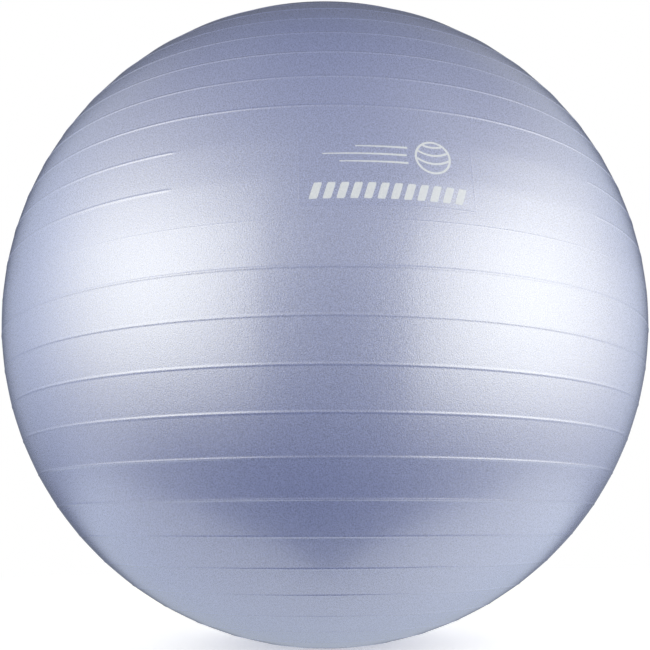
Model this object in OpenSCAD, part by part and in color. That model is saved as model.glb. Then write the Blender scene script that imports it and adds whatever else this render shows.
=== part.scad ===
// Inflatable exercise ball: a rotationally moulded skin with raised ribs, a valve in its top pole
// and a printed patch in the plain window on its front.
// Millimetres. +Z up through the valve, the print window faces -Y, and the origin is the centre of
// the small flat that the ball's weight makes where it stands.

/* [Ball] */
// Diameter of the inflated ball
ball_d = 650; // [550:50:750]
// Thickness of the skin
wall = 0.7; // [0.6:0.1:1.2]
// Diameter of the flat where the ball stands
floor_flat_d = 60; // [40:5:80]

/* [Ribs] */
// Width of a rib at its foot
rib_w = 3.2; // [2.5:0.1:5]
// Height of a rib above the skin
rib_h = 0.4; // [0.3:0.1:1.2]
// Degrees of latitude from rib to rib in the upper half
upper_pitch = 5.66; // [5.2:0.02:5.9]
// Degrees of latitude from rib to rib in the lower half, which stretches more
lower_pitch = 6.03; // [5.2:0.01:6.2]
// Ribs in the upper half
upper_ribs = 15; // [8:1:15]
// Ribs in the lower half
lower_ribs = 13; // [8:1:13]
// Lowest ribs of the upper half that stop at the print window
cut_ribs = 2; // [1:1:2]
// Degrees of longitude that the print window spans
window_angle = 64; // [40:2:90]
// Width of the parting line at the equator
parting_w = 0.8; // [0.4:0.1:1.2]
// Height of the parting line
parting_h = 0.15; // [0.05:0.05:0.3]

/* [Valve] */
// Diameter of the bore that the plug closes
bore_d = 8; // [6:0.5:9]
// Outer diameter of the neck
neck_d = 16; // [13:0.5:17]
// Length of the neck below the plug's recess
neck_l = 22; // [18:1:30]
// Diameter of the neck's inner flange
flange_d = 28; // [22:1:32]
// Thickness of the flange
flange_t = 1.6; // [1:0.2:3]
// Diameter of the thick pad around the valve
pad_d = 36; // [33:1:50]
// Thickness of the pad
pad_t = 4; // [3:0.5:6]
// Diameter of the recess for the plug's head
recess_d = 21; // [20.5:0.5:24]
// Depth of the recess
recess_h = 1.6; // [1:0.1:2]
// Diameter of the plug's head
head_d = 19; // [18:0.5:20]
// Thickness of the plug's head at its edge
head_t = 1.2; // [0.8:0.1:1.4]
// Rise of the head's crown above its edge
head_crown = 0.6; // [0.3:0.1:1]
// Length of the plug's stem
stem_l = 25; // [20:1:32]
// Sealing ridges on the stem
ridges = 3; // [2:1:4]
// Gap between a ridge and the bore
ridge_gap = 0.05; // [0.01:0.01:0.1]

/* [Print] */
// Width of the clear film around the ball
film_w = 131; // [125:1:150]
// Height of the film
film_h = 61; // [58:1:62]
// Thickness of the film
film_t = 0.08; // [0.05:0.01:0.15]
// Latitude of the film's centre, in degrees
film_lat = 7.2; // [6.5:0.1:8]
// Turn of the film's centre from the middle of the window, in degrees
film_turn = -2.9; // [-6:0.1:6]
// Thickness of the ink
ink_t = 0.04; // [0.02:0.01:0.08]
// Stripes in the row under the pictogram
stripes = 12; // [8:1:14]

/* [Hidden] */

$fn = 180;
SMALL_FN = 40;
EPS = 0.01;

ball_r = ball_d / 2;
flat_r = floor_flat_d / 2;
centre_z = sqrt(ball_r * ball_r - flat_r * flat_r);
top_z = centre_z + ball_r;

// A rib's cross-section is a circle that stands rib_h out of the skin and is rib_w wide at its foot.
rib_r = (rib_w * rib_w / 4 + rib_h * rib_h) / (2 * rib_h);
rib_centre_r = ball_r + rib_h - rib_r;

SKIN = [0.66, 0.68, 0.80];
CLEAR_FILM = [0.72, 0.74, 0.86];
INK = [0.90, 0.91, 0.95];
WHITE_PLASTIC = [0.93, 0.93, 0.92];
NECK_PVC = [0.60, 0.62, 0.74];

recess_z = top_z - recess_h;
pad_z = top_z - pad_t;
SEAT_GAP = 0.05;
head_z = recess_z + SEAT_GAP;
stem_r = bore_d / 2 - 0.4;
ridge_r = bore_d / 2 - ridge_gap;
edge_z = head_z + head_t;
CHAMFER = 0.5;
RIDGE_H = 1.6;
RIDGE_TIP = 0.3;
RIDGE_STEP = 5;
FIRST_RIDGE = 4.5;
NOSE_L = 3;
NOSE_TAPER = 1.4;
MOUTH_R = 0.8;
LIFT_R = 2.6;

// ---- profiles, drawn with X as the radius from the ball's axis and Y as height

// A point's place on a sphere of radius r about the ball's centre.
function on_sphere(r, lat) = [r * cos(lat), centre_z + r * sin(lat)];

module rib_section(lat) {
    translate(on_sphere(rib_centre_r, lat)) circle(r = rib_r, $fn = SMALL_FN);
}

// The shallow ridge that the two halves of the mould leave.
module parting_section() {
    translate([0, centre_z - parting_w / 2]) square([ball_r + parting_h, parting_w]);
}

// Everything right of the axis, so that a profile can be revolved.
module right_half() {
    translate([0, -ball_r]) square([2 * ball_r, 4 * ball_r]);
}

module above(z) {
    translate([-EPS, z]) square([2 * ball_r, 3 * ball_r]);
}

module ball_outline() {
    translate([0, centre_z]) circle(r = ball_r);
    for (k = [cut_ribs + 1 : upper_ribs]) rib_section(k * upper_pitch);
    for (k = [1 : lower_ribs]) rib_section(-k * lower_pitch);
    parting_section();
}

// The air inside, with the valve's pad left standing above it.
module air_outline() {
    difference() {
        intersection() {
            translate([0, centre_z]) circle(r = ball_r - wall);
            above(wall);
        }
        translate([-EPS, pad_z]) square([pad_d / 2 + EPS, pad_t * 2]);
    }
}

module skin_section() {
    intersection() {
        difference() {
            ball_outline();
            air_outline();
            translate([-EPS, recess_z]) square([recess_d / 2 + EPS, recess_h * 2]);
            translate([-EPS, pad_z - 1]) square([neck_d / 2 + EPS, pad_t + 2]);
        }
        right_half();
        above(0);
    }
}

// A rib of the print window's rows: it runs round the back from one side of the window to the other.
module cut_rib(lat) {
    rotate([0, 0, -90 + window_angle / 2])
        rotate_extrude(angle = 360 - window_angle)
            difference() {
                rib_section(lat);
                translate([0, centre_z]) circle(r = ball_r - wall / 2);
            }
}

// A scoop in the recess's rim, for the fingertip or the tool that lifts the plug.
module lift_scoop() {
    translate([recess_d / 2, 0, top_z + LIFT_R - recess_h]) sphere(r = LIFT_R, $fn = SMALL_FN);
}

// A patch of a thin shell on the ball, centred at the film's place.
module shell_patch(r_in, r_out, width, height) {
    half_lat = height / ball_r * 90 / PI;
    half_lon = width / ball_r / cos(film_lat) * 90 / PI;
    reach = ball_r * 1.2;
    rotate([0, 0, film_turn - 90 - half_lon])
        rotate_extrude(angle = 2 * half_lon)
            intersection() {
                difference() {
                    translate([0, centre_z]) circle(r = r_out);
                    translate([0, centre_z]) circle(r = r_in);
                }
                polygon([
                    [0, centre_z],
                    on_sphere(reach, film_lat - half_lat),
                    on_sphere(reach, film_lat + half_lat)
                ]);
            }
}

// ---- the printed mark: a plain ball pictogram with motion lines, and a row of slanted stripes

MARK_W = 117;
ROW_Y = -19;
ROW_H = 12.6;
STRIPE_FILL = 0.62;
STRIPE_LEAN = 4;
ICON_X = 34;
ICON_Y = 11;
ICON_R = 14;
LINE_W = 1.7;
LATITUDE_R = 22;
LATITUDE_STEP = 7;
// Motion lines: height above the icon's centre, then the left and right ends
MOTION = [[6.5, -24, 15], [0, -48, 14], [-6.5, -36, 15]];

module ring(r, w) {
    difference() {
        circle(r = r, $fn = 90);
        circle(r = r - w, $fn = 90);
    }
}

module round_bar(x0, x1, y) {
    translate([x0, y - LINE_W / 2]) square([x1 - x0, LINE_W]);
    for (x = [x0, x1]) translate([x, y]) circle(d = LINE_W, $fn = 24);
}

module ball_pictogram() {
    ring(ICON_R, LINE_W);
    intersection() {
        circle(r = ICON_R - LINE_W / 2, $fn = 90);
        for (k = [-1 : 1])
            translate([0, k * LATITUDE_STEP + LATITUDE_R + LINE_W / 2]) ring(LATITUDE_R, LINE_W);
    }
}

module stripe_row() {
    pitch = (MARK_W - STRIPE_LEAN) / (stripes - 1 + STRIPE_FILL);
    for (k = [0 : stripes - 1])
        translate([-MARK_W / 2 + k * pitch, -ROW_H / 2])
            polygon([
                [0, 0],
                [pitch * STRIPE_FILL, 0],
                [pitch * STRIPE_FILL + STRIPE_LEAN, ROW_H],
                [STRIPE_LEAN, ROW_H]
            ]);
}

module artwork() {
    translate([ICON_X, ICON_Y]) ball_pictogram();
    for (m = MOTION) round_bar(m[1], m[2], ICON_Y + m[0]);
    translate([0, ROW_Y]) stripe_row();
}

// ---- sub-parts

module ball_skin() {
    color(SKIN) difference() {
        union() {
            rotate_extrude() skin_section();
            for (k = [1 : cut_ribs]) cut_rib(k * upper_pitch);
        }
        lift_scoop();
    }
}

// The neck is moulded apart and welded into the pad, with its flange inside the ball.
module valve_neck() {
    mouth = bore_d / 2 + MOUTH_R;
    color(NECK_PVC) rotate_extrude() polygon([
        [mouth, recess_z],
        [neck_d / 2, recess_z],
        [neck_d / 2, pad_z],
        [flange_d / 2, pad_z],
        [flange_d / 2, pad_z - flange_t],
        [neck_d / 2, pad_z - flange_t - 1],
        [neck_d / 2 - 1, recess_z - neck_l],
        [bore_d / 2, recess_z - neck_l],
        [bore_d / 2, recess_z - MOUTH_R]
    ]);
}

// The outline of one sealing ridge, from its upper foot to its lower foot.
function ridge_outline(z) = [
    [stem_r, z + RIDGE_H / 2],
    [ridge_r, z + RIDGE_TIP],
    [ridge_r, z - RIDGE_TIP],
    [stem_r, z - RIDGE_H / 2]
];

// The head is a flat disc with a chamfered lower edge, and the stem's nose tapers to find the bore.
function plug_outline() = concat(
    [
        [0, edge_z],
        [head_d / 2, edge_z],
        [head_d / 2, head_z + CHAMFER],
        [head_d / 2 - CHAMFER, head_z],
        [stem_r, head_z]
    ],
    [for (k = [0 : ridges - 1], p = ridge_outline(head_z - FIRST_RIDGE - k * RIDGE_STEP)) p],
    [
        [stem_r, head_z - stem_l + NOSE_L],
        [stem_r - NOSE_TAPER, head_z - stem_l],
        [0, head_z - stem_l]
    ]
);

// The low crown is a slice of a large sphere.
module plug_crown() {
    crown_r = (head_d * head_d / 4 + head_crown * head_crown) / (2 * head_crown);
    rotate_extrude() intersection() {
        translate([0, edge_z + head_crown - crown_r]) circle(r = crown_r, $fn = 720);
        translate([0, edge_z - CHAMFER]) square([head_d / 2, head_crown + CHAMFER]);
    }
}

module valve_plug() {
    color(WHITE_PLASTIC) {
        rotate_extrude() polygon(plug_outline());
        plug_crown();
    }
}

module print_film() {
    color(CLEAR_FILM) shell_patch(ball_r, ball_r + film_t, film_w, film_h);
}

module print_mark() {
    depth = 12;
    color(INK) intersection() {
        shell_patch(ball_r + film_t, ball_r + film_t + ink_t, film_w - 2, film_h - 2);
        rotate([0, 0, film_turn])
            translate([0, 0, centre_z])
                rotate([-film_lat, 0, 0])
                    translate([0, depth - ball_r, 0])
                        rotate([90, 0, 0])
                            linear_extrude(height = 2 * depth) artwork();
    }
}

ball_skin();
valve_neck();
valve_plug();
print_film();
print_mark();
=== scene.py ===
"""Looks of the exercise ball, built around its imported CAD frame.

The skin, the valve's neck and plug, the clear film and the ink are modelled here at full detail. Each one
replaces the plain CAD node of the same name and rides on that node's body. Lengths are in metres. Named
angles are in degrees; lat and lon, the latitude and the longitude from -Y, are in radians.
"""

import math

import bpy
import numpy as np
from mathutils import Matrix, Vector


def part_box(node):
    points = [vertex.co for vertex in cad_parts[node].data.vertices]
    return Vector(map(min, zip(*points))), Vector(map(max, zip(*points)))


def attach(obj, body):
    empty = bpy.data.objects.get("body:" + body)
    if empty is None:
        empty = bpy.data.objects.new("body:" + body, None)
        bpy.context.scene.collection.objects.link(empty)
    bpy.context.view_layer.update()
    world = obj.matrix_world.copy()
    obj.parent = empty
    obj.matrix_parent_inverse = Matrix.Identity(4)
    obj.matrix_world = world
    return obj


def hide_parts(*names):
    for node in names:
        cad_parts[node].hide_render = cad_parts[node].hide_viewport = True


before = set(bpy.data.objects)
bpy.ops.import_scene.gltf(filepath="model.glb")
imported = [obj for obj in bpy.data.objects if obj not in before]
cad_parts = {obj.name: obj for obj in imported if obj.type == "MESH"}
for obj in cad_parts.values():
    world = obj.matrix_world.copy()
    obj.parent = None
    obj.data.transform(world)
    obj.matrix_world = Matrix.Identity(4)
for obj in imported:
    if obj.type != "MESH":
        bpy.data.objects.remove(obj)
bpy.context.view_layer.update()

MM = 0.001

# ---------------------------------------------------------------- dimensions of the ball

WALL = 0.7 * MM
PARTING_H = 0.15 * MM
PARTING_W = 1.0 * MM

# the recess for the plug's head at the top pole
RECESS_H = 1.6 * MM
RIM_R = 10.5 * MM

skin_lo, skin_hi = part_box("ball_skin")
neck_lo, neck_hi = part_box("valve_neck")
plug_lo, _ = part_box("valve_plug")

BALL_R = (skin_hi.x - skin_lo.x) / 2 - PARTING_H
TOP_Z = neck_hi.z + RECESS_H
CENTRE_Z = TOP_Z - BALL_R
CENTRE = np.array([0.0, 0.0, CENTRE_Z])
FLAT_R = math.sqrt(BALL_R**2 - CENTRE_Z**2)

# ribs: degrees of latitude from one to the next, and how many there are above and below the equator
UPPER_PITCH = 5.66
LOWER_PITCH = 6.03
UPPER_RIBS = 15
LOWER_RIBS = 13
RIB_W = 3.2 * MM
RIB_H = 0.30 * MM

# unevenness of the ribs: how far they wander and the share by which their height changes
RIB_WANDER = 0.12 * MM
RIB_CHANGE = 0.07

# the plain window round the print, centred on -Y: the lowest upper ribs stop at its sides
CUT_RIBS = 2
WINDOW_HALF = 32.0
RIB_END = 0.4

# unevenness of the skin: slow waves, and how much flatter it is midway between two ribs
WAVE_H = 0.15 * MM
BAND_FLATNESS = 0.12 * MM

# the lower half came out of its mould turned a little: its ribs lean by this much about the front. The lean
# grows down to LEAN_FULL degrees below the equator and fades over LEAN_FADE degrees from LEAN_ENDS.
LOWER_LEAN = 0.5
LEAN_FRONT = -11.4
LEAN_FULL = 15.0
LEAN_ENDS = 45.0
LEAN_FADE = 35.0

# the scoop in the recess's rim, at +X: how far out it goes and its half angle
SCOOP_OUT = 2.4 * MM
SCOOP_HALF = 11.0

# the thick pad inside the skin round the valve, and the neck that passes through it
PAD_R = 18 * MM
PAD_T = 4 * MM
NECK_R = 8 * MM

# the flat that the ball rests on
FLAT_SOFTNESS = 0.35 * MM
FLAT_Z = 0.02 * MM

# the print: where its middle is, and the size of its clear film
FILM_TURN = -2.9
FILM_LAT = 7.2
FILM_W = 131 * MM
FILM_H = 61 * MM
FILM_T = 0.08 * MM
FILM_SUNK = 0.03 * MM
INK_T = 0.04 * MM
INK_SUNK = 0.4 * FILM_T

# the bead of adhesive along the film's edge: its height, its distance from the edge and its half width
EDGE_BEAD = 0.07 * MM
BEAD_IN = 0.7 * MM
BEAD_HALF = 0.5 * MM

SHARP_ANGLE = 50.0
NECK_COLUMNS = 64
PLUG_COLUMNS = 72


def smooth(x):
    """Smoothstep of numbers from 0 to 1."""
    x = np.clip(x, 0.0, 1.0)
    return x * x * (3 - 2 * x)


def ridge(distance, width):
    """Cross-section of a rounded ridge of height 1."""
    return np.where(np.abs(distance) < width / 2, np.cos(math.pi * distance / width) ** 2, 0)


# ---------------------------------------------------------------- mesh helpers


def new_object(name, points, faces, material, smooth_faces=True):
    """A mesh object in the scene. Smooth faces still meet at a hard edge where the angle is sharp."""
    mesh = bpy.data.meshes.new(name)
    mesh.from_pydata([tuple(p) for p in points], [], faces)
    mesh.update()
    mesh.polygons.foreach_set("use_smooth", [smooth_faces] * len(mesh.polygons))
    mesh.set_sharp_from_angle(angle=math.radians(SHARP_ANGLE))
    mesh.materials.append(material)
    obj = bpy.data.objects.new(name, mesh)
    bpy.context.scene.collection.objects.link(obj)
    return obj


def grid_faces(rows, columns, close_rows, close_columns, first=0):
    """Quads of a grid of points, wound so that they face away from the axis for rows that run downward."""
    faces = []
    for i in range(rows if close_rows else rows - 1):
        j = np.arange(columns if close_columns else columns - 1)
        a = first + i * columns + j
        b = first + i * columns + (j + 1) % columns
        c = first + ((i + 1) % rows) * columns + (j + 1) % columns
        d = first + ((i + 1) % rows) * columns + j
        faces += np.stack([a, d, c, b], 1).tolist()
    return faces


def revolve(name, profile, columns, material, closed=False):
    """A body of revolution about Z. The profile is (radius, height) pairs that run down the outside. A
    closed profile is a ring; otherwise it starts and ends on the axis."""
    turn = np.linspace(0, 2 * math.pi, columns, endpoint=False)
    body = profile if closed else profile[1:-1]
    points = [(r * math.cos(t), r * math.sin(t), z) for r, z in body for t in turn]
    faces = grid_faces(len(body), columns, closed, True)
    if not closed:
        top, bottom = len(points), len(points) + 1
        last = (len(body) - 1) * columns
        points += [(0, 0, profile[0][1]), (0, 0, profile[-1][1])]
        for j in range(columns):
            k = (j + 1) % columns
            faces.append([top, j, k])
            faces.append([bottom, last + k, last + j])
    return new_object(name, points, faces, material)


def fillet(corner, before, after, radius, steps=5):
    """Points of a rounded corner of a profile, by a quadratic curve through its two tangent points."""
    c = np.array(corner, float)
    b = np.array(before, float) - c
    a = np.array(after, float) - c
    p = c + b / np.linalg.norm(b) * radius
    q = c + a / np.linalg.norm(a) * radius
    t = np.linspace(0, 1, steps)[:, None]
    return [tuple(x) for x in (1 - t) ** 2 * p + 2 * t * (1 - t) * c + t**2 * q]


def rounded(corners, radii):
    """A closed or open profile with its corners rounded. A radius of 0 keeps the corner sharp."""
    out = []
    n = len(corners)
    for i, (corner, radius) in enumerate(zip(corners, radii)):
        if radius == 0:
            out.append(tuple(corner))
        else:
            out += fillet(corner, corners[i - 1], corners[(i + 1) % n], radius)
    return out


# ---------------------------------------------------------------- the skin

# rows of points: their distances from the middle of a rib and of the parting line, how many there are above
# the highest rib and below the lowest one, and the least gap between two
RIB_OFFSETS = np.array([0, 0.4, 0.8, 1.2, 1.6, 2.2, 4.0, 10.0]) * MM
PARTING_OFFSETS = np.array([0, 0.25, 0.5, 0.9, 2.0, 5.0, 10.0]) * MM
TOP_ROWS = 9
BOTTOM_ROWS = 12
ROW_GAP = 0.2 * MM

# columns of points: how many all round, and the closer ones about each side of the window, in degrees
COLUMNS = 168
END_COLUMNS = np.array([-1.4, -0.8, -0.4, 0, 0.4, 0.8, 1.4])
COLUMN_GAP = 0.5

# the top of the skin: how far the first row lies outside the recess's rim, and the next rows beyond it
RIM_LIP = 0.6 * MM
RIM_STEP = 0.4 * MM

# rings of points across the flat and inside it, as shares of its radius, and rows up the inner surface
FLAT_RINGS = (0.8, 0.55, 0.3, 0.1)
INNER_RINGS = (0.1, 0.4, 0.7)
INNER_ROWS = 30


def rib_latitudes():
    """(latitude in degrees, stops at the window) of every rib."""
    upper = [(k * UPPER_PITCH, k <= CUT_RIBS) for k in range(1, UPPER_RIBS + 1)]
    lower = [(-k * LOWER_PITCH, False) for k in range(1, LOWER_RIBS + 1)]
    return upper + lower


def line_latitudes():
    """Latitudes of the ribs and the parting line in radians, from the lowest up."""
    return sorted([math.radians(degrees) for degrees, _ in rib_latitudes()] + [0.0])


def skin_rows():
    """Latitudes of the rows of points from the top down, close together over a rib."""
    lines = line_latitudes()
    rows = list(PARTING_OFFSETS / BALL_R) + list(-PARTING_OFFSETS / BALL_R)
    for degrees, _ in rib_latitudes():
        middle = math.radians(degrees)
        rows += list(middle + RIB_OFFSETS / BALL_R) + list(middle - RIB_OFFSETS / BALL_R)
    rows += [(low + high) / 2 for low, high in zip(lines, lines[1:])]
    highest = math.acos((RIM_R + RIM_LIP) / BALL_R)
    lowest = -math.acos(FLAT_R / BALL_R)
    rows += list(np.linspace(lines[-1], highest, TOP_ROWS)[1:])
    rows += list(np.linspace(lowest, lines[0], BOTTOM_ROWS)[:-1])
    rows = sorted(lat for lat in set(np.round(rows, 7)) if lat <= highest + 1e-6)
    kept = [rows[-1]]
    for lat in reversed(rows[:-1]):
        if kept[-1] - lat > ROW_GAP / BALL_R:
            kept.append(lat)
    return np.array(kept)


def skin_columns():
    """Longitudes of the columns from -Y, closer together where ribs end at the window's sides."""
    coarse = np.linspace(-180, 180, COLUMNS, endpoint=False)
    fine = np.concatenate([side * WINDOW_HALF + END_COLUMNS for side in (-1, 1)])
    coarse = [c for c in coarse if np.abs(fine - c).min() > COLUMN_GAP]
    return np.radians(np.sort(np.concatenate([coarse, fine])))


def slow_waves(lat, lon):
    """Very low waves, the unevenness that a moulded and inflated skin has. Between about -1 and 1."""
    waves = 0.45 * np.sin(3 * lon + 0.6) * np.cos(2.2 * lat + 0.4)
    waves += 0.30 * np.sin(7 * lon + 2.1 + 2 * lat) * np.cos(5 * lat)
    waves += 0.25 * np.sin(11 * lat + 1.3 + 0.5 * np.sin(2 * lon))
    return waves * np.cos(lat)


def band_flatness(lat):
    """How far the surface lies below the ball's radius between two ribs."""
    lines = line_latitudes()
    depth = 0.0
    for low, high in zip(lines, lines[1:]):
        u = (lat - (low + high) / 2) / (high - low)
        bowl = BAND_FLATNESS * (0.5 + 0.5 * np.cos(2 * math.pi * u))
        depth = depth + np.where(np.abs(u) <= 0.5, bowl, 0)
    return depth


def rib_height(k, degrees, cut, lat, lon):
    """Height of rib number k above the skin."""
    wander = RIB_WANDER * np.sin(3 * lon + 1.7 * k)
    distance = (lat - math.radians(degrees)) * BALL_R - wander
    height = RIB_H * (1 + RIB_CHANGE * np.sin(5 * lon + 2.3 * k))
    if cut:
        beyond = np.degrees(np.abs(lon)) - WINDOW_HALF
        height = height * smooth(0.5 + beyond / RIB_END / 2)
    return height * ridge(distance, RIB_W)


def skin_radius(lat, lon):
    """Distance of the outer surface from the ball's centre."""
    r = BALL_R + WAVE_H * slow_waves(lat, lon) - band_flatness(lat)
    for k, (degrees, cut) in enumerate(rib_latitudes()):
        r = r + rib_height(k, degrees, cut, lat, lon)
    fade = 0.55 + 0.45 * np.sin(2 * lon + 0.9) * np.sin(5 * lon + 0.2)
    return r + PARTING_H * fade * ridge(lat * BALL_R, PARTING_W)


def leaned(lat, lon):
    """Where a point of the skin at this latitude goes once the lower half leans."""
    below = -np.degrees(lat)
    lean = LOWER_LEAN * smooth(below / LEAN_FULL) * (1 - smooth((below - LEAN_ENDS) / LEAN_FADE))
    return lat - np.radians(lean) * np.sin(lon - math.radians(LEAN_FRONT))


def scoop(lon):
    """How far the recess's rim steps out for the scoop that helps to lift the plug."""
    away = np.degrees(np.abs(lon - math.pi / 2))
    return SCOOP_OUT * np.exp(-((away / SCOOP_HALF) ** 2))


def sphere_points(lat, lon, r):
    """Points at a latitude, a longitude and a distance r from the ball's centre."""
    flat = r * np.cos(lat)
    return np.stack([flat * np.sin(lon), -flat * np.cos(lon), CENTRE_Z + r * np.sin(lat)], -1)


def ring_points(r, z, lon):
    """A ring of points of radius r at height z, either of which may change along it."""
    r = r + np.zeros_like(lon)
    z = z + np.zeros_like(lon)
    return np.stack([r * np.sin(lon), -r * np.cos(lon), z], -1)


def recess_rows(lon):
    """The valve's hole from the pad up, the recess's floor and its side up to the rim."""
    rim_z = CENTRE_Z + math.sqrt(BALL_R**2 - RIM_R**2)
    floor_z = TOP_Z - RECESS_H
    # radius, height and share of the scoop
    profile = [
        (NECK_R, TOP_Z - PAD_T, 0.0),
        (NECK_R, floor_z, 0.0),
        (NECK_R + 0.5 * MM, floor_z, 0.0),
        (RIM_R - 0.5 * MM, floor_z, 0.8),
        (RIM_R - 0.12 * MM, floor_z + 0.15 * MM, 0.9),
        (RIM_R, floor_z + 0.5 * MM, 1.0),
        (RIM_R, rim_z - 0.4 * MM, 1.0),
        (RIM_R + 0.1 * MM, rim_z - 0.12 * MM, 1.0),
        (RIM_R + 0.35 * MM, rim_z - 0.01 * MM, 1.0),
    ]
    return [ring_points(r + share * scoop(lon), z, lon) for r, z, share in profile]


def outer_rows(lon):
    """The outer surface from the recess's rim down to the flat, and the flat."""
    lat = skin_rows()[:, None]
    outside = sphere_points(leaned(lat, lon), lon, skin_radius(lat, lon))
    z = outside[..., 2]
    outside[..., 2] = 0.5 * (z + np.sqrt(z * z + FLAT_SOFTNESS**2))
    radius = np.hypot(outside[..., 0], outside[..., 1])
    rim = np.maximum(radius[0], RIM_R + RIM_LIP + scoop(lon))
    for i in range(3):
        outside[i] = ring_points(np.maximum(radius[i], rim + i * RIM_STEP), outside[i, :, 2], lon)
    return list(outside) + [ring_points(FLAT_R * share, FLAT_Z, lon) for share in FLAT_RINGS]


def inner_rows(lon):
    """The inner surface from the middle of the flat up to the pad."""
    inner_r = BALL_R - WALL
    inner_flat = math.sqrt(inner_r**2 - (CENTRE_Z - WALL) ** 2)
    rows = [ring_points(inner_flat * share, WALL, lon) for share in INNER_RINGS]
    lowest = -math.acos(inner_flat / inner_r)
    highest = math.acos(PAD_R / inner_r)
    for lat in np.linspace(lowest, highest, INNER_ROWS):
        rows.append(sphere_points(np.full_like(lon, lat), lon, inner_r))
    rows.append(ring_points(PAD_R - 0.3 * MM, TOP_Z - PAD_T, lon))
    return rows


def make_skin(material):
    """One closed shell: down the outside, across the flat, then up the inside and through the valve's hole.
    The two rings at the middle of the flat aren't joined to each other: a fan of triangles closes each."""
    lon = skin_columns()
    down = recess_rows(lon) + outer_rows(lon)
    rows = down + inner_rows(lon)
    n = len(lon)
    outer_ring = (len(down) - 1) * n
    inner_ring = len(down) * n
    faces = grid_faces(len(rows), n, True, True)
    faces = [f for f in faces if not (outer_ring <= f[0] < inner_ring and f[1] >= inner_ring)]
    outer_pole = len(rows) * n
    inner_pole = outer_pole + 1
    points = np.concatenate(rows + [[[0, 0, FLAT_Z], [0, 0, WALL]]])
    for j in range(n):
        k = (j + 1) % n
        faces.append([outer_pole, outer_ring + k, outer_ring + j])
        faces.append([inner_pole, inner_ring + j, inner_ring + k])
    return new_object("ball_skin_pvc", points, faces, material)


# ---------------------------------------------------------------- the valve

# the neck: its bore, the wider mouth of the bore, the flange and the weld bead under it
BORE_R = 4 * MM
MOUTH_R = 4.8 * MM
MOUTH_H = 0.8 * MM
FLANGE_R = 14 * MM
FLANGE_T = 1.6 * MM
WELD_T = 1.0 * MM
NECK_TIP_R = 7 * MM

# the plug: its head, which sits a little above the neck, and its stem with three ridges
SEAT_GAP = 0.05 * MM
HEAD_R = 9.5 * MM
EDGE_H = 1.2 * MM
CROWN_H = 0.6 * MM
STEM_R = 3.6 * MM
RIDGE_R = 3.95 * MM
RIDGES = 3
RIDGE_PITCH = 5 * MM
FIRST_RIDGE = 4.5 * MM

# profiles of the plug in mm: radius, and height above the level in the name
DIMPLE_FROM_CROWN = [(0.0, -0.32), (0.8, -0.31), (1.35, -0.2), (1.7, -0.06)]
CROWN_RADII = (2.1, 3.5, 5, 6.4, 7.2)
RIM_FROM_EDGE = [(7.35, 0.14), (7.7, 0.1), (7.95, 0.2), (8.8, 0.1), (9.25, -0.02), (9.5, -0.25)]
UNDER_FROM_SEAT = [(9.5, 0.6), (9.3, 0.2), (9.0, 0.0), (4.2, 0.0)]
END_FROM_TIP = [(3.6, 3.0), (3.3, 1.8), (2.6, 0.5), (1.9, 0.08), (1.2, 0.0), (0.0, 0.0)]

# cross-section of a ridge: height in mm from its middle, and share of its height
RIDGE_SHAPE = ((0.9, 0), (0.6, 0.35), (0.3, 0.85), (0, 1), (-0.3, 0.85), (-0.6, 0.35), (-0.9, 0))


def make_neck(material):
    """The neck with its flange and a small weld bead where it meets the pad."""
    top, pad = neck_hi.z, TOP_Z - PAD_T
    # radius, height and rounding of each corner
    corners = [
        (MOUTH_R, top, 0.3 * MM),
        (NECK_R, top, 0),
        (NECK_R, pad, 0),
        (FLANGE_R, pad, 0.3 * MM),
        (FLANGE_R, pad - FLANGE_T, 0.5 * MM),
        (NECK_R, pad - FLANGE_T - WELD_T, 1.2 * MM),
        (NECK_TIP_R, neck_lo.z, 0.8 * MM),
        (BORE_R, neck_lo.z, 0.4 * MM),
        (BORE_R, top - MOUTH_H, 0.3 * MM),
    ]
    profile = rounded([(r, z) for r, z, _ in corners], [radius for _, _, radius in corners])
    return revolve("valve_neck_insert", profile, NECK_COLUMNS, material, closed=True)


def make_plug(material):
    """The stopper: a crowned head with a thumb dimple and a rim step, over a stem with sealing ridges."""
    seat = neck_hi.z + SEAT_GAP
    edge = seat + EDGE_H
    crown = edge + CROWN_H

    def above(level, offsets):
        return [(r * MM, level + z * MM) for r, z in offsets]

    profile = above(crown, DIMPLE_FROM_CROWN)
    profile += [(r * MM, edge + CROWN_H * (1 - (r * MM / HEAD_R) ** 2)) for r in CROWN_RADII]
    profile += above(edge, RIM_FROM_EDGE)
    profile += above(seat, UNDER_FROM_SEAT)
    profile.append((STEM_R, seat - 0.4 * MM))
    for k in range(RIDGES):
        middle = seat - FIRST_RIDGE - k * RIDGE_PITCH
        profile += [(STEM_R + (RIDGE_R - STEM_R) * share, middle + z * MM) for z, share in RIDGE_SHAPE]
    profile += above(plug_lo.z, END_FROM_TIP)
    return revolve("valve_plug_stopper", profile, PLUG_COLUMNS, material)


# ---------------------------------------------------------------- the print

# the row of slanted stripes
MARK_W = 117 * MM
ROW_Y = -19 * MM
ROW_H = 12.6 * MM
STRIPES = 12
STRIPE_FILL = 0.62
STRIPE_LEAN = 4 * MM
CORNER_INSET = 0.45 * MM
CORNER_SHARE = 0.1

# the pictogram of a ball: its ring and the curved lines across it
ICON_X = 34 * MM
ICON_Y = 11 * MM
ICON_R = 14 * MM
LINE_W = 1.7 * MM
LATITUDE_R = 22 * MM
LATITUDE_STEP = 7 * MM

# motion bars beside it, in mm from the icon's height and the print's middle: y, left end, right end
MOTION = [(6.5, -24, 15), (0, -48, 14), (-6.5, -36, 15)]
BAR_TAPER = 0.45
LEAST_HALF = 0.02 * MM

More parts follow.
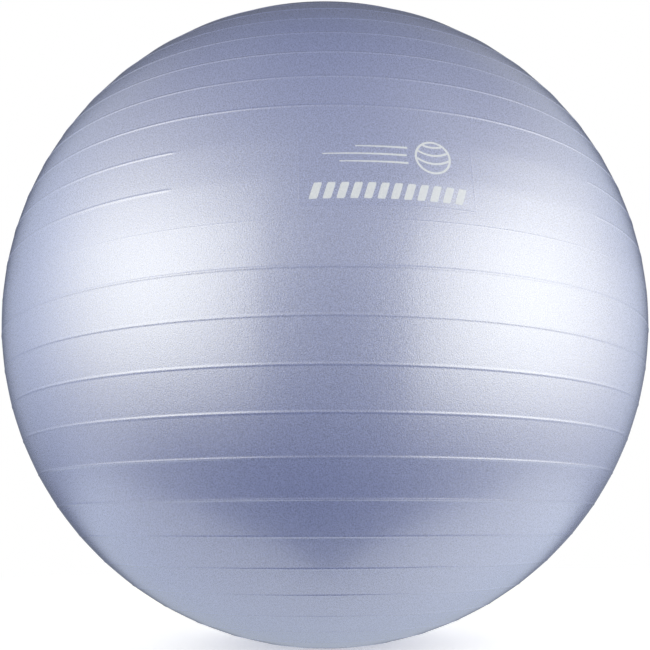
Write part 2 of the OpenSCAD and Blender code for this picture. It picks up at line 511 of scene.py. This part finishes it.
# the film's corners, and its rows and columns of points: near the edge and across the middle
FILM_CORNER = 3 * MM
NEAR_EDGE = np.array([0, 0.35, 0.7, 1.05, 1.4, 2.2]) * MM
FROM_EDGE = 4 * MM
FILM_ROWS = 24
FILM_COLUMNS = 54


def print_frame():
    """Directions at the middle of the print: out of the ball, east along it and north along it."""
    lat, lon = math.radians(FILM_LAT), math.radians(FILM_TURN)
    out = np.array([math.cos(lat) * math.sin(lon), -math.cos(lat) * math.cos(lon), math.sin(lat)])
    east = np.array([math.cos(lon), math.sin(lon), 0.0])
    return out, east, np.cross(out, east)


def skin_at(directions):
    """The skin's own radius under these unit directions from the ball's centre."""
    lat = np.arcsin(np.clip(directions[:, 2], -1, 1))
    lon = np.arctan2(directions[:, 0], -directions[:, 1])
    return skin_radius(lat, lon)


def on_ball(flat, above):
    """Lays flat points, in metres from the middle of the print, on the ball at a height above the skin."""
    out, east, north = print_frame()
    u = np.asarray(flat, float) / BALL_R
    depth = np.sqrt(1 - (u**2).sum(1))
    directions = depth[:, None] * out + u[:, :1] * east + u[:, 1:] * north
    return CENTRE + directions * (skin_at(directions) + above)[:, None]


def plate(flat, faces, low, high):
    """A thin closed plate of a flat outline mesh laid on the ball between two heights above the skin."""
    n = len(flat)
    points = np.concatenate([on_ball(flat, high), on_ball(flat, low)])
    edges = {(a, b) for f in faces for a, b in zip(f, f[1:] + f[:1])}
    both = faces + [[n + i for i in reversed(f)] for f in faces]
    sides = [[b, a, n + a, n + b] for a, b in sorted(edges) if (b, a) not in edges]
    return points, both + sides


def strip(left, right):
    """Quads between two rows of flat points, wound to face outward when left is on the walker's left."""
    n = len(left)
    faces = [[i, n + i, n + i + 1, i + 1] for i in range(n - 1)]
    return np.concatenate([left, right]), faces


def bar_shape(x0, x1, y, width, taper):
    """A bar with round ends. taper is the share of its width that its left end keeps."""
    half = width / 2
    start, stop = x0 + half * taper, x1 - half
    turn = np.linspace(0, math.pi / 2, 7)
    middle = np.linspace(start, stop, 24)[1:-1]
    share = taper + (1 - taper) * (middle - start) / (stop - start)
    left_end = start - half * taper * np.sin(turn[::-1])
    xs = np.concatenate([left_end, middle, stop + half * np.sin(turn)])
    halves = np.concatenate([half * taper * np.cos(turn[::-1]), half * share, half * np.cos(turn)])
    halves = np.maximum(halves, LEAST_HALF)
    return strip(np.stack([xs, y + halves], 1), np.stack([xs, y - halves], 1))


def ring_shape(x, y, radius, width, start=0.0, end=360.0, steps=96):
    """A flat ring, or the part of one between two angles."""
    turn = np.radians(np.linspace(start, end, steps + 1))
    round_points = np.stack([np.cos(turn), np.sin(turn)], 1)
    outer = np.array([x, y]) + radius * round_points
    inner = np.array([x, y]) + (radius - width) * round_points
    if end - start < 360:
        return strip(inner, outer)
    faces = [[i, steps + i, steps + (i + 1) % steps, (i + 1) % steps] for i in range(steps)]
    return np.concatenate([inner[:-1], outer[:-1]]), faces


def stripe_shape(x, y, width, height, lean, steps=8):
    """One slanted stripe with slightly rounded corners."""
    t = np.linspace(0, 1, steps + 1)
    inset = CORNER_INSET * (1 - smooth(np.minimum(t, 1 - t) / CORNER_SHARE))
    ys = y + height * (t - 0.5)
    left = np.stack([x + lean * t + inset, ys], 1)
    right = np.stack([x + width + lean * t - inset, ys], 1)
    return strip(left, right)


def latitude_shape(k):
    """One curved line of the ball pictogram, from side to side of its ring."""
    offset = k * LATITUDE_STEP + LATITUDE_R + LINE_W / 2
    inner = ICON_R - LINE_W
    middle = LATITUDE_R - LINE_W / 2
    height = (offset**2 + inner**2 - middle**2) / (2 * offset)
    half = math.sqrt(max(inner**2 - height**2, 0))
    reach = math.degrees(math.atan2(half, offset - height))
    return ring_shape(ICON_X, ICON_Y + offset, LATITUDE_R, LINE_W, 270 - reach, 270 + reach, 28)


def mark_shapes():
    """The flat shapes of the print."""
    shapes = [ring_shape(ICON_X, ICON_Y, ICON_R, LINE_W)]
    shapes += [latitude_shape(k) for k in (-1, 0, 1)]
    shapes += [bar_shape(a * MM, b * MM, ICON_Y + y * MM, LINE_W, BAR_TAPER) for y, a, b in MOTION]
    pitch = (MARK_W - STRIPE_LEAN) / (STRIPES - 1 + STRIPE_FILL)
    for k in range(STRIPES):
        x = -MARK_W / 2 + k * pitch
        shapes.append(stripe_shape(x, ROW_Y, pitch * STRIPE_FILL, ROW_H, STRIPE_LEAN))
    return shapes


def make_ink(material):
    """The ink, whose shapes stand a little proud of the film."""
    points, faces = [], []
    for flat, flat_faces in mark_shapes():
        plate_points, plate_faces = plate(flat, flat_faces, FILM_T - INK_SUNK, FILM_T + INK_T)
        faces += [[i + len(points) for i in face] for face in plate_faces]
        points += plate_points.tolist()
    return new_object("print_mark_ink", points, faces, material, smooth_faces=False)


def make_film(material):
    """The clear film: a sheet with rounded corners and a low bead of adhesive along its edge."""
    half_w, half_h = FILM_W / 2, FILM_H / 2

    def steps(half, count):
        inner = np.linspace(-half + FROM_EDGE, half - FROM_EDGE, count)
        return np.concatenate([-half + NEAR_EDGE, inner, half - NEAR_EDGE[::-1]])

    v = steps(half_h, FILM_ROWS)
    u = steps(half_w, FILM_COLUMNS) / half_w
    over = np.maximum(np.abs(v) - (half_h - FILM_CORNER), 0)
    width = half_w - FILM_CORNER + np.sqrt(np.maximum(FILM_CORNER**2 - over**2, 0))
    flat = np.array([(share * w, y) for y, w in zip(v, width) for share in u])
    columns = len(u)
    corners = [i * columns + j for i in range(len(v) - 1) for j in range(columns - 1)]
    faces = [[a, a + 1, a + columns + 1, a + columns] for a in corners]
    inside = np.minimum(half_w - np.abs(flat[:, 0]), half_h - np.abs(flat[:, 1]))
    bead = EDGE_BEAD * np.exp(-(((inside - BEAD_IN) / BEAD_HALF) ** 2))
    points, faces = plate(flat, faces, -FILM_SUNK, FILM_T + bead)
    return new_object("print_film_clear", points, faces, material)


# ---------------------------------------------------------------- materials


class Nodes:
    """Short names for building a node tree."""

    def __init__(self, tree):
        self.tree = tree
        tree.nodes.clear()

    def make(self, kind, **values):
        node = self.tree.nodes.new(kind)
        for key, value in values.items():
            setattr(node, key, value)
        return node

    def put(self, socket, value):
        """Links an output to the socket, or sets the socket's own value."""
        if isinstance(value, bpy.types.NodeSocket):
            self.tree.links.new(value, socket)
        else:
            socket.default_value = value

    def math(self, operation, *values):
        node = self.make("ShaderNodeMath", operation=operation)
        for socket, value in zip(node.inputs, values):
            self.put(socket, value)
        return node.outputs[0]

    def dot(self, a, b):
        node = self.make("ShaderNodeVectorMath", operation="DOT_PRODUCT")
        self.put(node.inputs[0], a)
        self.put(node.inputs[1], b)
        return node.outputs["Value"]

    def map_range(self, node, values):
        for socket, value in zip(node.inputs, values):
            self.put(socket, value)
        return node.outputs[0]

    def ramp(self, value, low, high, to_low=0.0, to_high=1.0):
        """Smoothstep of value from low to high."""
        node = self.make("ShaderNodeMapRange", interpolation_type="SMOOTHSTEP")
        return self.map_range(node, (value, low, high, to_low, to_high))

    def line(self, value, low, high, to_low=0.0, to_high=1.0, clamp=True):
        """A straight line from (low, to_low) to (high, to_high), level beyond them if it is clamped."""
        node = self.make("ShaderNodeMapRange", clamp=clamp)
        return self.map_range(node, (value, low, high, to_low, to_high))

    def noise(self, where, scale, detail=2.0, roughness=0.5):
        node = self.make("ShaderNodeTexNoise")
        self.put(node.inputs["Vector"], where)
        self.put(node.inputs["Scale"], scale)
        self.put(node.inputs["Detail"], detail)
        self.put(node.inputs["Roughness"], roughness)
        return node.outputs["Fac"]

    def mix(self, share, a, b, blend="MIX"):
        node = self.make("ShaderNodeMix", data_type="RGBA", blend_type=blend)
        self.put(node.inputs[0], share)
        self.put(node.inputs[6], a)
        self.put(node.inputs[7], b)
        return node.outputs[2]

    def bump(self, height, strength, distance):
        node = self.make("ShaderNodeBump")
        self.put(node.inputs["Height"], height)
        self.put(node.inputs["Strength"], strength)
        self.put(node.inputs["Distance"], distance)
        return node.outputs["Normal"]

    def place(self):
        return self.make("ShaderNodeTexCoord").outputs["Object"]

    def surface(self, shader):
        """Makes this shader the material's surface."""
        output = self.make("ShaderNodeOutputMaterial")
        self.put(output.inputs["Surface"], shader.outputs[0])


def principled(name, **inputs):
    """A material of one Principled shader. Values that are the same all over are set on its own sockets."""
    material = bpy.data.materials.new(name)
    material.use_nodes = True
    nodes = Nodes(material.node_tree)
    shader = nodes.make("ShaderNodeBsdfPrincipled")
    nodes.surface(shader)
    for key, value in inputs.items():
        shader.inputs[key.replace("_", " ")].default_value = value
    return material, nodes, shader


# the vinyl's two close colours, mixed in slow clouds
PEARL = (0.282, 0.338, 0.715, 1)
PEARL_DEEP = (0.264, 0.318, 0.697, 1)
CLOUD_SCALE = 9.0
CLOUD_DETAIL = 3.0
CLOUD_EDGES = (0.35, 0.65)

# its pearl flakes: a speckle that darkens and lightens the colour and makes the gloss duller and brighter
SPECKLE_SCALE = 1400.0
SPECKLE_RANGE = (0.2, 0.8)
SPECKLE_SHADES = (0.62, 1.38)
SPECKLE_ROUGHNESS = 0.07

# the fine grain of its surface, and the detail and roughness of both noises
GRAIN_SCALE = 1100.0
GRAIN_DEPTH = 0.25 * MM
FINE_DETAIL = (2.0, 0.6)

# the ink: two close colours, the range of its roughness and its slight grain
INK_COLOURS = ((0.72, 0.76, 0.91, 1), (0.82, 0.855, 0.99, 1))
INK_ROUGHNESS = (0.38, 0.52)
INK_SCALE = 900.0
INK_EDGES = (0.3, 0.7)
INK_GRAIN = (0.15, 0.02 * MM)

# the plug: two close whites, the range of its roughness, its clouds, its grain and the light that it lets in
PLUG_COLOURS = ((0.83, 0.83, 0.80, 1), (0.90, 0.90, 0.88, 1))
PLUG_ROUGHNESS = (0.38, 0.5)
PLUG_CLOUD_SCALE = 260.0
PLUG_GRAIN_SCALE = 1800.0
PLUG_GRAIN = (0.2, 0.03 * MM)
PLUG_SUBSURFACE = 0.12
PLUG_SUBSURFACE_DEPTH = 2 * MM


def pearl_skin(name, roughness, grain):
    """Satin vinyl with pearl flakes: lavender-blue below, a neutral sheen above."""
    material, nodes, shader = principled(name, IOR=2.34, Coat_Weight=1.0, Coat_Roughness=0.15, Coat_IOR=1.6)
    shader.inputs["Specular IOR Level"].default_value = 1.0
    where = nodes.place()
    clouds = nodes.ramp(nodes.noise(where, CLOUD_SCALE, CLOUD_DETAIL), *CLOUD_EDGES)
    speckle = nodes.noise(where, SPECKLE_SCALE, *FINE_DETAIL)
    shade = nodes.line(speckle, *SPECKLE_RANGE, *SPECKLE_SHADES)
    duller, brighter = roughness + SPECKLE_ROUGHNESS, roughness - SPECKLE_ROUGHNESS
    colour = nodes.mix(1.0, nodes.mix(clouds, PEARL, PEARL_DEEP), shade, "MULTIPLY")
    nodes.put(shader.inputs["Base Color"], colour)
    nodes.put(shader.inputs["Roughness"], nodes.line(speckle, *SPECKLE_RANGE, brighter, duller))
    fine = nodes.noise(where, GRAIN_SCALE, *FINE_DETAIL)
    nodes.put(shader.inputs["Normal"], nodes.bump(fine, grain, GRAIN_DEPTH))
    return material


def ink_material():
    """Pale ink with a slight metallic sheen."""
    material, nodes, shader = principled("pale_ink", Metallic=0.1, IOR=1.5)
    speckle = nodes.noise(nodes.place(), INK_SCALE)
    colour = nodes.mix(nodes.ramp(speckle, *INK_EDGES), *INK_COLOURS)
    nodes.put(shader.inputs["Base Color"], colour)
    nodes.put(shader.inputs["Roughness"], nodes.line(speckle, 0.0, 1.0, *INK_ROUGHNESS))
    nodes.put(shader.inputs["Normal"], nodes.bump(speckle, *INK_GRAIN))
    return material


def plug_material():
    """White polyethylene, which lets a little light in."""
    material, nodes, shader = principled("white_polyethylene", IOR=1.5)
    shader.inputs["Subsurface Weight"].default_value = PLUG_SUBSURFACE
    shader.inputs["Subsurface Scale"].default_value = PLUG_SUBSURFACE_DEPTH
    where = nodes.place()
    clouds = nodes.noise(where, PLUG_CLOUD_SCALE, CLOUD_DETAIL)
    nodes.put(shader.inputs["Base Color"], nodes.mix(clouds, *PLUG_COLOURS))
    nodes.put(shader.inputs["Roughness"], nodes.line(clouds, 0.0, 1.0, *PLUG_ROUGHNESS))
    grain = nodes.noise(where, PLUG_GRAIN_SCALE)
    nodes.put(shader.inputs["Normal"], nodes.bump(grain, *PLUG_GRAIN))
    return material


# ---------------------------------------------------------------- camera

AZIMUTH = -11.4
ELEVATION = -13.35
ROLL = -0.73
DISTANCE = 2.82 * BALL_R
LENS = 47.24
SENSOR_W = 36
CLIP_START = 0.02


def view_axes():
    """Right, up and back of the viewing direction, before the camera's small roll."""
    a, e = math.radians(AZIMUTH), math.radians(ELEVATION)
    back = Vector((math.sin(a) * math.cos(e), -math.cos(a) * math.cos(e), math.sin(e)))
    right = Vector((0, 0, 1)).cross(back).normalized()
    return right, back.cross(right), back


def make_camera():
    data = bpy.data.cameras.new("camera")
    data.lens = LENS
    data.sensor_width = SENSOR_W
    data.clip_start = CLIP_START
    camera = bpy.data.objects.new("camera", data)
    bpy.context.scene.collection.objects.link(camera)
    right, up, back = view_axes()
    place = Matrix.Translation(Vector(CENTRE) + back * DISTANCE)
    turned = Matrix((right, up, back)).transposed().to_4x4()
    camera.matrix_world = place @ turned @ Matrix.Rotation(math.radians(ROLL), 4, "Z")
    bpy.context.scene.camera = camera


# ---------------------------------------------------------------- the visible floor

# its colour under the studio's light, its glow (distances from the ball's axis, then strengths), which lifts
# the real contact shadow but is weaker near the ball and so paints shade round the contact, the distances
# between which it fades to white, and half its size
STAGE_COLOUR = (0.95, 0.93, 0.88, 1)
STAGE_GLOW_AND_PAINTED_SHADOW = (0.02, 0.22, 0.30, 0.62)
STAGE_FADE = (0.5, 1.6)
STAGE_HALF = 30.0


def make_floor():
    """A pale floor, darker by painted shade round the contact, that turns into the white background further
    out.
    """
    material = bpy.data.materials.new("studio_floor")
    material.use_nodes = True
    nodes = Nodes(material.node_tree)
    length = nodes.make("ShaderNodeVectorMath", operation="LENGTH")
    nodes.put(length.inputs[0], nodes.place())
    distance = length.outputs["Value"]
    diffuse = nodes.make("ShaderNodeBsdfDiffuse")
    nodes.put(diffuse.inputs["Color"], STAGE_COLOUR)
    # the glow is weaker near the ball's axis: painted shade round the contact, over the real shadow in the
    # diffuse part
    glow = nodes.make("ShaderNodeEmission")
    nodes.put(glow.inputs["Strength"], nodes.ramp(distance, *STAGE_GLOW_AND_PAINTED_SHADOW))
    near = nodes.make("ShaderNodeAddShader")
    nodes.put(near.inputs[0], diffuse.outputs[0])
    nodes.put(near.inputs[1], glow.outputs[0])
    white = nodes.make("ShaderNodeEmission")
    mixed = nodes.make("ShaderNodeMixShader")
    nodes.put(mixed.inputs[0], nodes.ramp(distance, *STAGE_FADE))
    nodes.put(mixed.inputs[1], near.outputs[0])
    nodes.put(mixed.inputs[2], white.outputs[0])
    nodes.surface(mixed)
    points = [(x * STAGE_HALF, y * STAGE_HALF, 0) for x, y in ((-1, -1), (1, -1), (1, 1), (-1, 1))]
    floor = new_object("studio_floor", points, [[0, 1, 2, 3]], material, smooth_faces=False)
    floor.visible_glossy = False
    floor.visible_diffuse = False
    floor.visible_shadow = False


# ---------------------------------------------------------------- the studio's light

# The light is radiance by direction. A direction is a turn from the way the ball faces its main view, to its
# right, and a height above the line of sight, both in degrees. Its frontward part is 1 towards the main view
# and -1 straight behind the ball, and its rightward part is 1 straight to the right.

# the wall: its light, the heights between which it begins, and its smaller share behind the ball
WALL_LIGHT = 0.28
WALL_FOOT = (8.0, 22.0)
BEHIND_SHARE = 0.33
BEHIND_EDGES = (-0.6, 0.3)

# the pale floor as the ball sees it: its light, the height of its edge straight behind the ball, how much
# lower the edge comes in front, how sharply it bends down, its softness, and its share straight behind
FLOOR_LIGHT = 0.69
FLOOR_FAR = -25.0
FLOOR_NEAR = 64.0
FLOOR_BEND = 2.5
FLOOR_SOFTNESS = (-8.0, 4.0)
FLOOR_BEHIND_SHARE = 0.7
FLOOR_BEHIND_EDGES = (-0.95, -0.4)

# tints in front and aside; aside takes in the sides and the back below a height, and more of the left
STUDIO_TINT = (1.0, 0.995, 0.88, 1)
SIDE_TINT = (0.90, 0.97, 1.04, 1)
FLOOR_TINT = (0.95, 0.985, 0.955, 1)
FLOOR_SIDE_TINT = (0.90, 0.985, 1.09, 1)
ASIDE_EDGES = (-0.75, 0.05)
ASIDE_RIGHT = 0.2
ASIDE_TOP = (15.0, 50.0)

# soft round spots: light, then turn, width, height and width of the spot
FLOOR_GLOWS = [
    (0.30, (95.0, 55.0, -48.0, 26.0)),
    (0.38, (-92.0, 24.0, -29.0, 11.0)),
    (0.14, (-64.0, 20.0, -44.0, 10.0)),
    (0.34, (163.0, 13.0, -13.0, 11.0)),
    (0.26, (-163.0, 13.0, -13.0, 11.0)),
]
SPILL = (0.33, (2.0, 50.0, 0.0, 36.0))
LEFT_SHOULDER = (0.32, (-80.0, 58.0, 52.0, 22.0))
RIGHT_SHOULDER = (0.30, (88.0, 58.0, 52.0, 22.0))

# soft boxes: even light and the lamp's extra glow, then the sides and ends (each where, how soft), how much
# the sides lean above LEAN_FROM, and the glow's spot (turn, width, height, width)
LEAN_FROM = 18.0
LEFT_BOX = (0.42, 1.70, (-143, 30), (-21.5, 7), (-23, 42), (44, 36), 0.0, (-60.0, 43.0, 10.0, 34.0))
RIGHT_BOX = (0.38, 1.95, (27.0, 7), (144, 28), (-28, 40), (40, 30), 0.6, (70.0, 46.0, 3.0, 38.0))


class Studio(Nodes):
    """Light by direction, as a node tree of the world."""

    def __init__(self, tree):
        super().__init__(tree)
        towards = self.make("ShaderNodeTexCoord").outputs["Generated"]
        right, up, back = view_axes()
        self.rightward = self.dot(towards, tuple(right))
        self.frontward = self.dot(towards, tuple(back))
        upward = self.dot(towards, tuple(up))
        to_degrees = 180 / math.pi
        self.turn = self.math("MULTIPLY", self.math("ARCTAN2", self.rightward, self.frontward), to_degrees)
        self.height = self.math("MULTIPLY", self.math("ARCSINE", upward), to_degrees)

    def window(self, value, low, high):
        """1 between two edges, each given as where it is and how soft."""
        rise = self.ramp(value, low[0] - low[1] / 2, low[0] + low[1] / 2)
        fall = self.ramp(value, high[0] - high[1] / 2, high[0] + high[1] / 2, 1.0, 0.0)
        return self.math("MULTIPLY", rise, fall)

    def squared(self, value, middle, width):
        away = self.line(value, middle, middle + width, clamp=False)
        return self.math("POWER", self.math("ABSOLUTE", away), 2.0)

    def spot(self, light, core):
        """A soft round spot that falls off as a bell curve."""
        far = self.math("ADD", self.squared(self.turn, *core[:2]), self.squared(self.height, *core[2:]))
        return self.math("MULTIPLY", self.math("EXPONENT", self.math("MULTIPLY", far, -1.0)), light)

    def soft_box(self, even, glow, left_side, right_side, bottom, top, lean, core):
        """A lit panel with soft sides, brighter about the lamp behind it."""
        above = self.math("MAXIMUM", self.math("SUBTRACT", self.height, LEAN_FROM), 0.0)
        leaned_turn = self.math("SUBTRACT", self.turn, self.math("MULTIPLY", above, lean))
        sides = self.window(leaned_turn, left_side, right_side)
        shape = self.math("MULTIPLY", sides, self.window(self.height, bottom, top))
        return self.math("MULTIPLY", shape, self.math("ADD", self.spot(glow, core), even))

    def wall(self):
        share = self.ramp(self.frontward, *BEHIND_EDGES, BEHIND_SHARE, 1.0)
        return self.math("MULTIPLY", self.ramp(self.height, *WALL_FOOT, 0.0, WALL_LIGHT), share)

    def floor(self):
        cosine = self.math("COSINE", self.math("MULTIPLY", self.turn, math.pi / 180))
        facing = self.math("MULTIPLY", self.math("ADD", cosine, 1.0), 0.5)
        facing = self.math("POWER", facing, FLOOR_BEND)
        edge = self.math("SUBTRACT", FLOOR_FAR, self.math("MULTIPLY", facing, FLOOR_NEAR))
        above = self.math("SUBTRACT", self.height, edge)
        light = self.ramp(above, *FLOOR_SOFTNESS, FLOOR_LIGHT, 0.0)
        light = self.total([light] + [self.spot(*glow) for glow in FLOOR_GLOWS])
        share = self.ramp(self.frontward, *FLOOR_BEHIND_EDGES, FLOOR_BEHIND_SHARE, 1.0)
        return self.math("MULTIPLY", light, share)

    def aside(self):
        """1 at the sides and behind, below a height, and 0 in front."""
        turned = self.math("ADD", self.frontward, self.math("MULTIPLY", self.rightward, ASIDE_RIGHT))
        low = self.ramp(self.height, *ASIDE_TOP, 1.0, 0.0)
        return self.math("MULTIPLY", self.ramp(turned, *ASIDE_EDGES, 1.0, 0.0), low)

    def total(self, parts):
        light = parts[0]
        for part in parts[1:]:
            light = self.math("ADD", light, part)
        return light


def make_world():
    """Soft light from all round: a wall, two broad soft boxes in front of the ball and the pale floor below.
    The background is white to the camera."""
    world = bpy.data.worlds.new("studio")
    world.use_nodes = True
    bpy.context.scene.world = world
    studio = Studio(world.node_tree)
    boxes = [studio.soft_box(*LEFT_BOX), studio.soft_box(*RIGHT_BOX)]
    spots = [studio.spot(*spot) for spot in (SPILL, LEFT_SHOULDER, RIGHT_SHOULDER)]
    light = studio.total([studio.wall()] + boxes + spots)
    aside = studio.aside()
    tint = studio.mix(aside, STUDIO_TINT, SIDE_TINT)
    floor_tint = studio.mix(aside, FLOOR_TINT, FLOOR_SIDE_TINT)
    floor = studio.mix(1.0, floor_tint, studio.floor(), "MULTIPLY")
    lit = studio.mix(1.0, floor, studio.mix(1.0, tint, light, "MULTIPLY"), "ADD")
    seen = studio.make("ShaderNodeLightPath").outputs["Is Camera Ray"]
    background = studio.make("ShaderNodeBackground")
    studio.put(background.inputs["Color"], studio.mix(seen, lit, (1, 1, 1, 1)))
    output = studio.make("ShaderNodeOutputWorld")
    studio.put(output.inputs["Surface"], background.outputs[0])


# ---------------------------------------------------------------- assembly

bpy.context.scene.view_settings.view_transform = "Standard"
make_camera()
make_floor()
make_world()

skin_material = pearl_skin("pearl_vinyl", roughness=0.28, grain=0.8)
film_material = pearl_skin("film_over_vinyl", roughness=0.275, grain=0.5)
neck_material = pearl_skin("neck_vinyl", roughness=0.38, grain=0.5)

PIECES = [
    (make_skin(skin_material), "ball", "ball_skin", "skin_pvc"),
    (make_neck(neck_material), "ball", "valve_neck", "neck_pvc"),
    (make_plug(plug_material()), "plug", "valve_plug", "plug_plastic"),
    (make_film(film_material), "ball", "print_film", "clear_film"),
    (make_ink(ink_material()), "ball", "print_mark", "print_ink"),
]
for piece, body, node, slot in PIECES:
    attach(piece, body)
    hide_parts(node)
